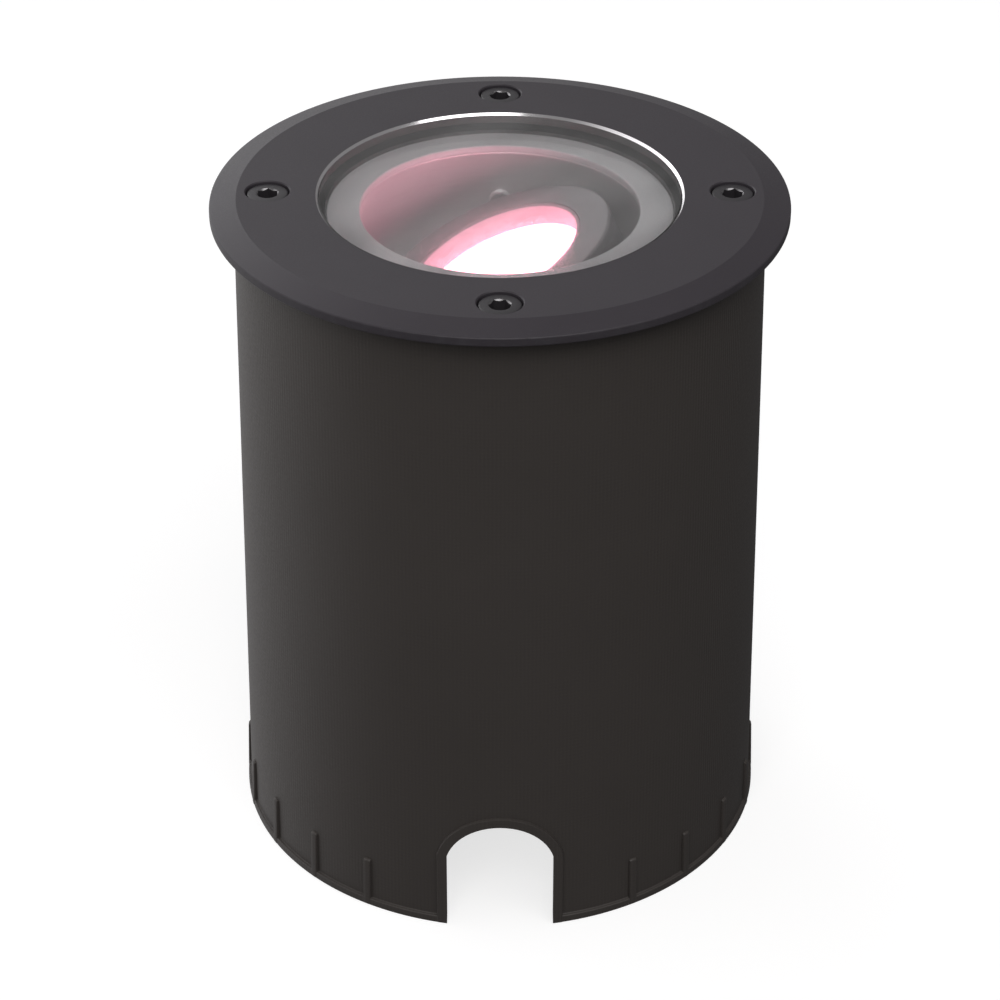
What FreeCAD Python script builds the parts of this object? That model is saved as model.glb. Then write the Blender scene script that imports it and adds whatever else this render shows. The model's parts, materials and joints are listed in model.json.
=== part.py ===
import FreeCAD, Part
import math
import os

from FreeCAD import Vector

# Recessed ground spotlight in its mounting sleeve. A round lamp with a thick flush glass hangs by its
# cover ring in a plastic sleeve, and an LED module turns and tilts under the glass.
# The origin is the centre of the sleeve's foot, +Z is up, and -Y is the front.

# The whole light
rim_radius = 60.0
total_height = 148.0

# Cover ring
cover_top_radius = 54.4
cover_chamfer_height = 1.35
cover_rim_thickness = 3.3
sleeve_seat_radius = 55.4
sleeve_seat_depth = 0.4
cover_depth = 8.0
register_radius = 53.1
opening_radius = 38.0
opening_chamfer = 0.4
edge_round = 0.35

# Cover screws, M5 with a cylindrical head
screw_circle_radius = 48.0
screw_radius = 2.45
screw_length = 16.0
head_radius = 4.25
head_height = 5.0
head_sink = 0.5
hex_across_flats = 4.0
hex_depth = 2.5
head_chamfer = 0.4
counterbore_radius = 4.6
clearance_hole_radius = 2.75
tapped_hole_radius = 2.5

# Glass and its seals
glass_thickness = 8.0
glass_flange_thickness = 3.0
glass_radius = 37.3
glass_flange_radius = 41.5
glass_pocket_radius = 42.0
upper_seal_thickness = 0.8
lower_seal_thickness = 1.6
lower_seal_inner_radius = 36.2
glass_bevel = 0.35

# Bezel ring under the glass
bezel_outer_radius = 35.9
bezel_inner_radius = 29.0
bezel_thickness = 1.2
bezel_gap = 0.3
bezel_skirt_thickness = 1.2
bezel_edge_chamfer = 0.2

# Mounting sleeve
sleeve_top_radius = 55.0
sleeve_foot_radius = 57.5
sleeve_wall = 2.6
sleeve_mouth_radius = 53.4
sleeve_mouth_depth = 5.7
foot_lip_proud = 0.7
foot_lip_height = 1.8
rib_proud = 0.85
rib_proud_at_top = 0.5
rib_round = 0.5
rib_width = 1.8
rib_height = 12.2
rib_step_angle = 15
rib_steps_each_way = 4
slot_width = 22.9
slot_height = 26.9
slot_arch_radius = 11.9
slot_border_width = 2.1
slot_border_proud = 0.8

# Lamp housing
housing_bore_radius = 34.4
housing_radius = 37.8
housing_low = 50.0
housing_floor = 4.0
flange_radius = 51.9
flange_thickness = 8.0
housing_bottom_chamfer = 3.0
seat_clearance = 0.2
screw_boss_radius = 3.9
screw_boss_drop = 24.5
screw_web_thickness = 4.0
fin_count = 20
fin_thickness = 2.0
fin_reach = 44.0
fin_low = 58.0
fin_slope_height = 8.0
port_offset = 15.0
port_radius = 8.0
port_boss_radius = 11.0
port_boss_height = 4.0
port_oring_radius = 10.2
port_oring_thickness = 1.4

# Swivel cup, a ball-shaped bowl that turns on a ledge in the housing
pivot_drop = 22.8
cup_inner_radius = 31.7
cup_wall = 1.6
cup_rim_drop = 10.3
cup_flange_radius = 35.7
cup_flange_drop = 13.2
cup_flange_thickness = 1.2
glide_ring_thickness = 0.8
spring_washer_thickness = 0.6
wire_hole_radius = 5.0
stop_width = 3.0
stop_reach = 3.2
stop_low = 100.0
stop_height = 9.0
stop_fin_start = 20.0
stop_fin_width = 2.0
stop_fin_gap = 1.5

# LED module, measured from its face along its own axis
tilt_at_rest = 22.5
face_above_pivot = 3.2
module_radius = 26.0
module_ring_depth = 9.2
aperture_radius = 18.4
well_depth = 4.7
well_wall = 0.8
diffuser_thickness = 1.3
cavity_radius = 21.0
board_thickness = 1.4
chip_size = 3.0
chip_height = 0.8
sink_base_thickness = 3.0
sink_fin_radius = 20.0
sink_fin_thickness = 1.4
sink_fin_pitch = 4.4
sink_depth = 22.0
module_screw_circle = 23.5
module_edge_chamfer = 0.5
module_part_gap = 0.2
sink_fins_each_way = 4
pin_radius = 1.5
pin_start = 22.0
pin_reach = 33.0
pivot_boss_radius = 2.4
pivot_boss_start = 30.2
bush_radius = 2.3
bush_start = 26.3
bush_length = 3.6
running_clearance = 0.06
pressed_clearance = 0.02

# Driver in the lower part of the housing
driver_board_radius = 32.5
driver_board_low = 62.0
driver_board_thickness = 1.6
driver_cover_top = 86.0
driver_cover_wall = 1.5
pillar_circle = 24.0
pillar_radius = 3.0
driver_screw_radius = 1.45
driver_screw_head_radius = 2.75
capacitor_radius = 3.8
capacitor_height = 13.0
terminal_pitch = 6.4
terminal_screw_radius = 1.45

# Cable gland in the front port
gland_low = 24.0
gland_bore_radius = 4.0
gland_hex_across_flats = 20.0
gland_nut_across_flats = 22.0
gland_hex_height = 5.0
gland_stub_radius = 9.0
gland_seal_radius = 7.0
plug_radius = 10.6
plug_head_height = 3.6
plug_hex_across_flats = 8.0

up = Vector(0, 0, 1)
across = Vector(0, 1, 0)
centre = Vector(0, 0, 0)

cover_underside = total_height - cover_rim_thickness
sleeve_top = cover_underside + sleeve_seat_depth
cover_low = total_height - cover_depth
glass_top = total_height - opening_chamfer
glass_low = glass_top - glass_thickness
seat_height = glass_low - lower_seal_thickness
pivot_height = total_height - pivot_drop
cup_rim_height = total_height - cup_rim_drop
cup_flange_low = total_height - cup_flange_drop
screw_boss_low = total_height - screw_boss_drop
ledge_height = cup_flange_low - glide_ring_thickness
bezel_top = glass_low - bezel_gap
bezel_skirt_low = cup_flange_low + cup_flange_thickness + spring_washer_thickness
quarter_turns = (0, 90, 180, 270)


# Shapes that several pieces share

def disc(radius, low, high, x=0.0, y=0.0):
    return Part.makeCylinder(radius, high - low, Vector(x, y, low))


def ring(outer, inner, low, high, x=0.0, y=0.0):
    return disc(outer, low, high, x, y).cut(disc(inner, low - 1, high + 1, x, y))


def flat_outline(points):
    return Part.Face(Part.makePolygon(points + points[:1]))


def turned(outline):
    # an outline of (radius, height) corners spun about the upright axis
    return flat_outline([Vector(radius, 0, height) for radius, height in outline]).revolve(centre, up, 360)


def upright_plate(outline, thickness):
    # a plate that stands on edge along +X, from an outline of (radius, height) corners
    face = flat_outline([Vector(radius, -thickness / 2, height) for radius, height in outline])
    return face.extrude(across * thickness)


def around(shape, angle):
    copy = shape.copy()
    copy.rotate(centre, up, angle)
    return copy


def polar(radius, angle):
    return radius * math.cos(math.radians(angle)), radius * math.sin(math.radians(angle))


def hexagon(across_flats, low, high, x=0.0, y=0.0):
    # a hexagonal prism with two corners along X
    corner = across_flats / math.sqrt(3)
    points = []
    for turn in range(6):
        step_x, step_y = polar(corner, 60 * turn)
        points.append(Vector(x + step_x, y + step_y, low))
    return flat_outline(points).extrude(up * (high - low))


def cross_rod(radius, start, end, height):
    # a rod along Y
    return Part.makeCylinder(radius, end - start, Vector(0, start, height), across)


def tilted(shape):
    # turns a module piece, built with the pivot at the origin, to its place at rest
    copy = shape.copy()
    copy.rotate(centre, across, -tilt_at_rest)
    copy.translate(up * pivot_height)
    return copy


def slice_at(depth):
    # height over the pivot of a plane at this depth behind the module's face
    return face_above_pivot - depth


# Mounting sleeve

def sleeve_radius(height):
    share = height / sleeve_top
    return sleeve_foot_radius + (sleeve_top_radius - sleeve_foot_radius) * share


def slot_block(extra):
    # the arched cable slot as a bar along Y, grown by extra on its sides and top
    half_width = slot_width / 2 + extra
    arch = slot_arch_radius + extra
    arch_centre = slot_height - slot_arch_radius
    spring = arch_centre + math.sqrt(arch ** 2 - half_width ** 2)
    side = -80.0
    low_left = Vector(-half_width, side, -5)
    high_left = Vector(-half_width, side, spring)
    top = Vector(0, side, arch_centre + arch)
    high_right = Vector(half_width, side, spring)
    low_right = Vector(half_width, side, -5)
    edges = [
        Part.makeLine(low_left, high_left),
        Part.Arc(high_left, top, high_right).toShape(),
        Part.makeLine(high_right, low_right),
        Part.makeLine(low_right, low_left),
    ]
    return Part.Face(Part.Wire(edges)).extrude(across * -2 * side)


def mounting_sleeve():
    outside = Part.makeCone(sleeve_foot_radius, sleeve_top_radius, sleeve_top)
    border_shell = Part.makeCone(
        sleeve_foot_radius + slot_border_proud, sleeve_top_radius + slot_border_proud, sleeve_top
    )
    border = border_shell.common(slot_block(slot_border_width))
    body = outside.fuse(border)

    foot_lip = Part.makeCone(
        sleeve_foot_radius + foot_lip_proud, sleeve_radius(foot_lip_height) + foot_lip_proud, foot_lip_height
    )
    body = body.fuse(foot_lip)

    wall = sleeve_foot_radius
    rib = upright_plate([
        (wall - 1.5, 0),
        (wall + rib_proud, 0),
        (sleeve_radius(rib_height) + rib_proud_at_top, rib_height - rib_round),
        (sleeve_radius(rib_height) - 0.1, rib_height),
        (wall - 1.5, rib_height),
    ], rib_width)
    for side in (0, 180):
        for step in range(-rib_steps_each_way, rib_steps_each_way + 1):
            body = body.fuse(around(rib, side + rib_step_angle * step))

    hollow = Part.makeCone(sleeve_foot_radius - sleeve_wall, sleeve_top_radius - sleeve_wall, sleeve_top)
    mouth = disc(sleeve_mouth_radius, sleeve_top - sleeve_mouth_depth, sleeve_top + 1)
    body = body.cut(hollow).cut(mouth).cut(slot_block(0))
    return body.removeSplitter()


# Cover ring, screws, glass and seals

def cover_ring():
    chamfer_low = total_height - cover_chamfer_height
    lip_low = glass_low + glass_flange_thickness + upper_seal_thickness
    wall_radius = opening_radius - opening_chamfer
    body = turned([
        (opening_radius, total_height),
        (cover_top_radius, total_height),
        (rim_radius - edge_round, chamfer_low + edge_round * 0.4),
        (rim_radius, chamfer_low - edge_round),
        (rim_radius, cover_underside + edge_round),
        (rim_radius - edge_round, cover_underside),
        (sleeve_seat_radius, cover_underside),
        (sleeve_seat_radius, sleeve_top),
        (register_radius, sleeve_top),
        (register_radius, cover_low),
        (glass_pocket_radius, cover_low),
        (glass_pocket_radius, lip_low),
        (wall_radius, lip_low),
        (wall_radius, total_height - opening_chamfer),
    ])
    head_seat = total_height - head_sink - head_height
    for angle in quarter_turns:
        x, y = polar(screw_circle_radius, angle)
        body = body.cut(disc(counterbore_radius, head_seat, total_height + 1, x, y))
        body = body.cut(disc(clearance_hole_radius, cover_low - 1, head_seat + 1, x, y))
    return body


def cover_screw(x, y):
    head_top = total_height - head_sink
    head_low = head_top - head_height
    head = disc(head_radius, head_low, head_top - head_chamfer, x, y)
    crown_low = Vector(x, y, head_top - head_chamfer)
    crown = Part.makeCone(head_radius, head_radius - head_chamfer, head_chamfer, crown_low)
    shank = disc(screw_radius, head_low - screw_length, head_low, x, y)
    socket = hexagon(hex_across_flats, head_top - hex_depth, head_top + 1, x, y)
    return head.fuse(crown).fuse(shank).cut(socket).removeSplitter()


def cover_screws():
    return Part.makeCompound([cover_screw(*polar(screw_circle_radius, angle)) for angle in quarter_turns])


def glass_lens():
    flange_top = glass_low + glass_flange_thickness
    return turned([
        (0, glass_low),
        (glass_flange_radius, glass_low),
        (glass_flange_radius, flange_top),
        (glass_radius, flange_top),
        (glass_radius, glass_top - glass_bevel),
        (glass_radius - glass_bevel, glass_top),
        (0, glass_top),
    ])


def glass_upper_seal():
    flange_top = glass_low + glass_flange_thickness
    return ring(glass_flange_radius, opening_radius, flange_top, flange_top + upper_seal_thickness)


def glass_lower_seal():
    return ring(glass_flange_radius, lower_seal_inner_radius, seat_height, glass_low)


def bezel_ring():
    plate_low = bezel_top - bezel_thickness
    return turned([
        (bezel_inner_radius + bezel_edge_chamfer, bezel_top),
        (bezel_outer_radius, bezel_top),
        (bezel_outer_radius, bezel_skirt_low),
        (bezel_outer_radius - bezel_skirt_thickness, bezel_skirt_low),
        (bezel_outer_radius - bezel_skirt_thickness, plate_low),
        (bezel_inner_radius, plate_low),
        (bezel_inner_radius, bezel_top - bezel_edge_chamfer),
    ])


# Lamp housing

def housing_fin():
    return upright_plate([
        (housing_radius - 1, fin_low),
        (housing_radius + 3, fin_low),
        (fin_reach, fin_low + fin_slope_height),
        (fin_reach, cover_low - flange_thickness + 1),
        (housing_radius - 1, cover_low - flange_thickness + 1),
    ], fin_thickness)


def lamp_housing():
    flange_low = cover_low - flange_thickness
    floor_top = housing_low + housing_floor
    body = turned([
        (0, housing_low),
        (housing_radius - housing_bottom_chamfer, housing_low),
        (housing_radius, housing_low + housing_bottom_chamfer),
        (housing_radius, flange_low),
        (flange_radius, flange_low),
        (flange_radius, cover_low),
        (glass_pocket_radius, cover_low),
        (glass_pocket_radius, seat_height),
        (bezel_outer_radius + seat_clearance, seat_height),
        (bezel_outer_radius + seat_clearance, ledge_height),
        (housing_bore_radius, ledge_height),
        (housing_bore_radius, floor_top),
        (0, floor_top),
    ])
    fin = housing_fin()
    fin_step = 360 / fin_count
    for number in range(fin_count):
        body = body.fuse(around(fin, fin_step * (number + 0.5)))

    web = upright_plate([
        (housing_radius - 1, screw_boss_low),
        (screw_circle_radius, screw_boss_low + 4),
        (screw_circle_radius, flange_low + 1),
        (housing_radius - 1, flange_low + 1),
    ], screw_web_thickness)
    hole_low = total_height - head_sink - head_height - screw_length - 1
    for angle in quarter_turns:
        x, y = polar(screw_circle_radius, angle)
        body = body.fuse(around(web, angle))
        body = body.fuse(disc(screw_boss_radius, screw_boss_low, flange_low + 1, x, y))
        body = body.cut(disc(tapped_hole_radius, hole_low, cover_low + 1, x, y))

    for y in (-port_offset, port_offset):
        body = body.fuse(disc(port_boss_radius, housing_low - port_boss_height, housing_low + 1, 0, y))
        body = body.cut(disc(port_radius, housing_low - port_boss_height - 1, floor_top + 1, 0, y))

    for angle in pillar_angles():
        x, y = polar(pillar_circle, angle)
        body = body.fuse(disc(pillar_radius, floor_top - 1, driver_board_low, x, y))
        body = body.cut(disc(driver_screw_radius + 0.05, floor_top, driver_board_low + 1, x, y))

    stop = upright_plate([
        (housing_bore_radius - stop_reach, stop_low),
        (housing_bore_radius + 0.5, stop_low),
        (housing_bore_radius + 0.5, stop_low + stop_height),
        (housing_bore_radius - stop_reach, stop_low + stop_height),
    ], stop_width)
    return body.fuse(around(stop, 90)).removeSplitter()


# Driver

def pillar_angles():
    return (0, 120, 240)


def driver_board():
    top = driver_board_low + driver_board_thickness
    board = disc(driver_board_radius, driver_board_low, top)
    for angle in pillar_angles():
        x, y = polar(pillar_circle, angle)
        board = board.cut(disc(driver_screw_radius + 0.2, driver_board_low - 1, top + 1, x, y))
    for y in (-port_offset, port_offset):
        board = board.cut(disc(4.0, driver_board_low - 1, top + 1, 0, y))
    return board


def driver_cover():
    low = driver_board_low + driver_board_thickness
    roof = driver_cover_top - driver_cover_wall
    shell = disc(driver_board_radius, low, driver_cover_top)
    shell = shell.cut(disc(driver_board_radius - driver_cover_wall, low - 1, roof))
    for angle in pillar_angles():
        x, y = polar(pillar_circle, angle)
        shell = shell.fuse(disc(pillar_radius, low, roof + 0.5, x, y))
        shell = shell.cut(disc(driver_screw_radius + 0.2, low - 1, driver_cover_top + 1, x, y))
    return shell.cut(disc(wire_hole_radius, roof - 1, driver_cover_top + 1)).removeSplitter()


def driver_screws():
    screws = []
    for angle in pillar_angles():
        x, y = polar(pillar_circle, angle)
        shank = disc(driver_screw_radius, driver_board_low - 6, driver_cover_top, x, y)
        head = disc(driver_screw_head_radius, driver_cover_top, driver_cover_top + 2, x, y)
        recess = hexagon(2.0, driver_cover_top + 0.8, driver_cover_top + 3, x, y)
        screws.append(shank.fuse(head).cut(recess).removeSplitter())
    return Part.makeCompound(screws)


def driver_transformer():
    low = driver_board_low + driver_board_thickness
    core = Part.makeBox(14, 16, 4, Vector(-23, -8, low + 4))
    winding = Part.makeBox(10, 12, 12, Vector(-21, -6, low))
    return core.fuse(winding).removeSplitter()


def driver_capacitors():
    low = driver_board_low + driver_board_thickness
    cans = []
    for angle in (15, 50):
        x, y = polar(14.0, angle)
        cans.append(disc(capacitor_radius, low, low + capacitor_height, x, y))
    return Part.makeCompound(cans)


def terminal_block():
    low = driver_board_low + driver_board_thickness
    block = Part.makeBox(13, 9, 9, Vector(6.5, -21, low))
    for pole in (-1, 1):
        x = 13 + pole * terminal_pitch / 2
        block = block.cut(Part.makeBox(3.4, 5, 4, Vector(x - 1.7, -22, low + 1)))
        block = block.cut(disc(terminal_screw_radius + 0.15, low + 5.5, low + 10, x, -16.5))
    return block


def terminal_screws():
    low = driver_board_low + driver_board_thickness
    screws = []
    for pole in (-1, 1):
        x = 13 + pole * terminal_pitch / 2
        slot = Part.makeBox(3.2, 0.6, 1, Vector(x - 1.6, -16.8, low + 7.2))
        screws.append(disc(terminal_screw_radius, low + 5.6, low + 7.8, x, -16.5).cut(slot))
    return Part.makeCompound(screws)


# Cable gland in the front port, blanking plug in the back port

def gland_body():
    y = -port_offset
    boss_low = housing_low - port_boss_height
    hex_top = boss_low - port_oring_thickness
    hex_low = hex_top - gland_hex_height
    stub_low = gland_low + 7
    body = hexagon(gland_hex_across_flats, hex_low, hex_top, 0, y)
    body = body.fuse(disc(port_radius - 0.1, hex_top - 1, housing_low + housing_floor + 2, 0, y))
    body = body.fuse(disc(gland_stub_radius, stub_low, hex_low + 1, 0, y))
    body = body.cut(disc(gland_bore_radius + 0.8, stub_low - 1, housing_low + housing_floor + 3, 0, y))
    return body.cut(disc(gland_seal_radius + 0.1, stub_low - 1, hex_low - 1.1, 0, y)).removeSplitter()


def gland_seal():
    return ring(gland_seal_radius, gland_bore_radius, gland_low + 6.6, gland_low + 14.3, 0, -port_offset)


def gland_nut():
    y = -port_offset
    nut = hexagon(gland_nut_across_flats, gland_low + 4, gland_low + 13, 0, y)
    nose = Part.makeCone(7.2, 11.0, 4, Vector(0, y, gland_low))
    limit = Part.makeCone(7.2, 16.0, 9.0, Vector(0, y, gland_low))
    limit = limit.fuse(disc(16.0, gland_low + 9, gland_low + 14, 0, y))
    nut = nut.fuse(nose).common(limit)
    nut = nut.cut(disc(gland_stub_radius + 0.1, gland_low + 6.4, gland_low + 14, 0, y))
    return nut.cut(disc(gland_bore_radius + 0.6, gland_low - 1, gland_low + 8, 0, y)).removeSplitter()


def port_oring(y):
    boss_low = housing_low - port_boss_height
    return ring(port_oring_radius, port_radius, boss_low - port_oring_thickness, boss_low, 0, y)


def blanking_plug():
    y = port_offset
    boss_low = housing_low - port_boss_height
    head_top = boss_low - port_oring_thickness
    plug = disc(plug_radius, head_top - plug_head_height, head_top, 0, y)
    plug = plug.fuse(disc(port_radius - 0.1, head_top - 1, housing_low + housing_floor, 0, y))
    return plug.cut(hexagon(plug_hex_across_flats, head_top - 5, head_top - 1.2, 0, y)).removeSplitter()


# Swivel cup and what it turns on

def swivel_cup():
    ball = Vector(0, 0, pivot_height)
    outer = cup_inner_radius + cup_wall
    shell = Part.makeSphere(outer, ball)
    flange_top = cup_flange_low + cup_flange_thickness
    shell = shell.fuse(disc(cup_flange_radius, cup_flange_low, flange_top))
    fin_end = housing_bore_radius - stop_reach + 1.2
    fin_bottom = stop_low + stop_fin_gap
    fin_top = stop_low + stop_height - stop_fin_gap
    stop_fin = upright_plate([
        (stop_fin_start, fin_bottom),
        (fin_end, fin_bottom),
        (fin_end, fin_top),
        (stop_fin_start, fin_top),
    ], stop_fin_width)
    shell = shell.fuse(around(stop_fin, 270))
    shell = shell.cut(Part.makeSphere(cup_inner_radius, ball))
    for side in (-1, 1):
        ends = sorted((side * pivot_boss_start, side * (cup_inner_radius + cup_wall / 2)))
        shell = shell.fuse(cross_rod(pivot_boss_radius, ends[0], ends[1], pivot_height))
    shell = shell.cut(cross_rod(pin_radius + running_clearance, -40, 40, pivot_height))
    shell = shell.cut(disc(cup_flange_radius + 5, cup_rim_height, pivot_height + 40))
    return shell.cut(disc(wire_hole_radius, pivot_height - 40, pivot_height)).removeSplitter()


def cup_grommet():
    low = pivot_height - cup_inner_radius - cup_wall
    return turned([
        (3.0, low - 1.1),
        (6.5, low - 1.1),
        (6.5, low - 0.2),
        (4.9, low - 0.2),
        (4.9, low + 2.5),
        (6.5, low + 2.5),
        (6.5, low + 3.3),
        (3.0, low + 3.3),
    ])


def glide_ring():
    return ring(bezel_outer_radius, housing_bore_radius, ledge_height, cup_flange_low)


def spring_washer():
    low = cup_flange_low + cup_flange_thickness
    return ring(bezel_outer_radius, 33.9, low, low + spring_washer_thickness)


# LED module

def module_ring():
    top = slice_at(0)
    body = turned([
        (aperture_radius + well_wall + 0.1, top),
        (module_radius - module_edge_chamfer, top),
        (module_radius, top - module_edge_chamfer),
        (module_radius, slice_at(module_ring_depth)),
        (cavity_radius, slice_at(module_ring_depth)),
        (cavity_radius, slice_at(well_depth)),
        (aperture_radius + well_wall + 0.1, slice_at(well_depth)),
    ])
    for side in (-1, 1):
        ends = sorted((side * pin_start, side * (module_radius + 1)))
        body = body.cut(cross_rod(pin_radius + pressed_clearance, ends[0], ends[1], 0))
    for angle in module_screw_angles():
        x, y = polar(module_screw_circle, angle)
        body = body.cut(disc(1.25, slice_at(module_ring_depth + 1), slice_at(3.5), x, y))
    return tilted(body)


def module_screw_angles():
    return (45, 135, 225, 315)


def light_well():
    outer = aperture_radius + well_wall
    return tilted(ring(outer, aperture_radius, slice_at(well_depth), slice_at(0.15)))


def diffuser_disc():
    top = slice_at(well_depth)
    return tilted(disc(cavity_radius - module_part_gap, top - diffuser_thickness, top))


def led_board():
    low = slice_at(module_ring_depth)
    return tilted(disc(cavity_radius - module_part_gap, low, low + board_thickness))


def led_chips():
    low = slice_at(module_ring_depth) + board_thickness
    half = chip_size / 2
    chips = [Part.makeBox(chip_size, chip_size, chip_height, Vector(-half, -half, low))]
    for turn in range(8):
        x, y = polar(12.0, 45 * turn + 22.5)
        chips.append(Part.makeBox(chip_size, chip_size, chip_height, Vector(x - half, y - half, low)))
    return tilted(Part.makeCompound(chips))


def heat_sink():
    base_top = slice_at(module_ring_depth)
    base_low = base_top - sink_base_thickness
    fins_low = slice_at(sink_depth)
    body = disc(module_radius - module_part_gap, base_low, base_top)
    limit = disc(sink_fin_radius, fins_low, base_low + 0.5)
    for number in range(-sink_fins_each_way, sink_fins_each_way + 1):
        side = number * sink_fin_pitch - sink_fin_thickness / 2
        plate = Part.makeBox(sink_fin_thickness, 60, 30, Vector(side, -30, fins_low))
        body = body.fuse(plate.common(limit))
    for angle in module_screw_angles():
        x, y = polar(module_screw_circle, angle)
        body = body.cut(disc(1.45, base_low - 1, base_top + 1, x, y))
    return tilted(body.removeSplitter())


def module_screws():
    base_low = slice_at(module_ring_depth + sink_base_thickness)
    screws = []
    for angle in module_screw_angles():
        x, y = polar(module_screw_circle, angle)
        shank = disc(1.2, base_low, slice_at(4.5), x, y)
        head = disc(2.2, base_low - 1.6, base_low, x, y)
        socket = hexagon(1.5, base_low - 2, base_low - 0.6, x, y)
        screws.append(shank.fuse(head).cut(socket).removeSplitter())
    return tilted(Part.makeCompound(screws))


def pivot_pins():
    pins = [cross_rod(pin_radius, -pin_reach, -pin_start, 0), cross_rod(pin_radius, pin_start, pin_reach, 0)]
    return tilted(Part.makeCompound(pins))


def friction_bushes():
    bushes = []
    for side in (-1, 1):
        ends = sorted((side * bush_start, side * (bush_start + bush_length)))
        bush = cross_rod(bush_radius, ends[0], ends[1], 0)
        bushes.append(bush.cut(cross_rod(pin_radius + running_clearance, ends[0] - 1, ends[1] + 1, 0)))
    return tilted(Part.makeCompound(bushes))


pieces = {
    "mounting_sleeve": mounting_sleeve,
    "cover_ring": cover_ring,
    "cover_screws": cover_screws,
    "glass_lens": glass_lens,
    "glass_upper_seal": glass_upper_seal,
    "glass_lower_seal": glass_lower_seal,
    "bezel_ring": bezel_ring,
    "lamp_housing": lamp_housing,
    "driver_board": driver_board,
    "driver_cover": driver_cover,
    "driver_screws": driver_screws,
    "driver_transformer": driver_transformer,
    "driver_capacitors": driver_capacitors,
    "terminal_block": terminal_block,
    "terminal_screws": terminal_screws,
    "gland_body": gland_body,
    "gland_seal": gland_seal,
    "gland_nut": gland_nut,
    "gland_oring": lambda: port_oring(-port_offset),
    "blanking_plug": blanking_plug,
    "plug_oring": lambda: port_oring(port_offset),
    "swivel_cup": swivel_cup,
    "cup_grommet": cup_grommet,
    "glide_ring": glide_ring,
    "spring_washer": spring_washer,
    "module_ring": module_ring,
    "light_well": light_well,
    "diffuser_disc": diffuser_disc,
    "led_board": led_board,
    "led_chips": led_chips,
    "heat_sink": heat_sink,
    "module_screws": module_screws,
    "pivot_pins": pivot_pins,
    "friction_bushes": friction_bushes,
}

os.makedirs("parts", exist_ok=True)
for name, make in pieces.items():
    shape = make()
    shape.exportStep("parts/" + name + ".step")
    print(name, len(shape.Solids), "solids", round(shape.Volume, 1), "mm3", "valid", shape.isValid())
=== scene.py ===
import bpy
import bmesh
import json
import math
from mathutils import Matrix, Vector


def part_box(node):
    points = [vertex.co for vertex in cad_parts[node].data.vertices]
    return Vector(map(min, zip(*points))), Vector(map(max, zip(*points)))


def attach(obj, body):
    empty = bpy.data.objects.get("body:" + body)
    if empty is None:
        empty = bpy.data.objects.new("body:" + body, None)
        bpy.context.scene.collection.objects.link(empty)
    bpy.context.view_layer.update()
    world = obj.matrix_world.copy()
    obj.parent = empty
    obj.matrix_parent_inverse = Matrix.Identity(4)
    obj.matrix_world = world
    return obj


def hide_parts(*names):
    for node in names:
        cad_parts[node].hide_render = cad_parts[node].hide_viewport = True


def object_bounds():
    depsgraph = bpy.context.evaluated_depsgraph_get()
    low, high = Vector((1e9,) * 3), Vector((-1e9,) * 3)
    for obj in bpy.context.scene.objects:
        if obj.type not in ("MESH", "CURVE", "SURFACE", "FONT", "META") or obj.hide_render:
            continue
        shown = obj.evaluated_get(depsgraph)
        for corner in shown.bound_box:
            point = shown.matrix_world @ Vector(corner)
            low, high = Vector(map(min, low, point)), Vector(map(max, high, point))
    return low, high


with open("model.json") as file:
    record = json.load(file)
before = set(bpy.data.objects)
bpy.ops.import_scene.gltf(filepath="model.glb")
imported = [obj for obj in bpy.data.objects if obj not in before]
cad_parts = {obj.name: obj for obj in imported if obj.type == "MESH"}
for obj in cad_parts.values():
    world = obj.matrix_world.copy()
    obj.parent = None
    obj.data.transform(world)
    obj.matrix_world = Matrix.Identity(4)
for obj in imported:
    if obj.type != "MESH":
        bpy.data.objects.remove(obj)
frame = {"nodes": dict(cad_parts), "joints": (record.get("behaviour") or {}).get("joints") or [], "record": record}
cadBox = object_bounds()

mm = 0.001
nodes = frame["nodes"]
joints = {joint["name"]: joint for joint in frame["joints"]}
slotOf = {subpart["node"]: subpart["material_slot"] for subpart in frame["record"]["subparts"]}
print("frame loaded:", len(nodes), "nodes")


# Stage, light and camera

lightLow, lightHigh = cadBox
lightHeight = lightHigh[2] - lightLow[2]
rimRadius = min(lightHigh[0], lightHigh[1], -lightLow[0], -lightLow[1])

cameraSettings = {
    "distance": 9.315,  # in front of the axis, in rim radii
    "rise": 4.631,  # above the cover's face, in rim radii
    "aimDrop": 1.258,  # the aim below the cover's face, in rim radii
    "lens": 108.3,
    "sensor": 36.0,
}


def placeCamera(settings):
    camera = bpy.data.objects.new("studioCamera", bpy.data.cameras.new("studioCamera"))
    bpy.context.scene.collection.objects.link(camera)
    camera.data.lens = settings["lens"]
    camera.data.sensor_width = settings["sensor"]
    camera.data.clip_start = 0.01
    height = lightHeight + settings["rise"] * rimRadius
    camera.location = (0, -settings["distance"] * rimRadius, height)
    aim = Vector((0, 0, lightHeight - settings["aimDrop"] * rimRadius))
    camera.rotation_euler = (aim - camera.location).to_track_quat("-Z", "Y").to_euler()
    bpy.context.scene.camera = camera


def addNode(tree, kind, inputs=None, **settings):
    made = tree.nodes.new(kind)
    for key, value in settings.items():
        setattr(made, key, value)
    for key, value in (inputs or {}).items():
        if isinstance(value, bpy.types.NodeSocket):
            tree.links.new(value, made.inputs[key])
        else:
            made.inputs[key].default_value = value
    return made


def remap(tree, value, fromLow, fromHigh, toLow, toHigh, smooth=False):
    made = addNode(tree, "ShaderNodeMapRange", {
        "Value": value, "From Min": fromLow, "From Max": fromHigh, "To Min": toLow, "To Max": toHigh,
    })
    made.interpolation_type = "SMOOTHSTEP" if smooth else "LINEAR"
    return made.outputs["Result"]


def mathOf(tree, first, second, operation="ADD"):
    return addNode(tree, "ShaderNodeMath", {0: first, 1: second}, operation=operation).outputs["Value"]


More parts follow.
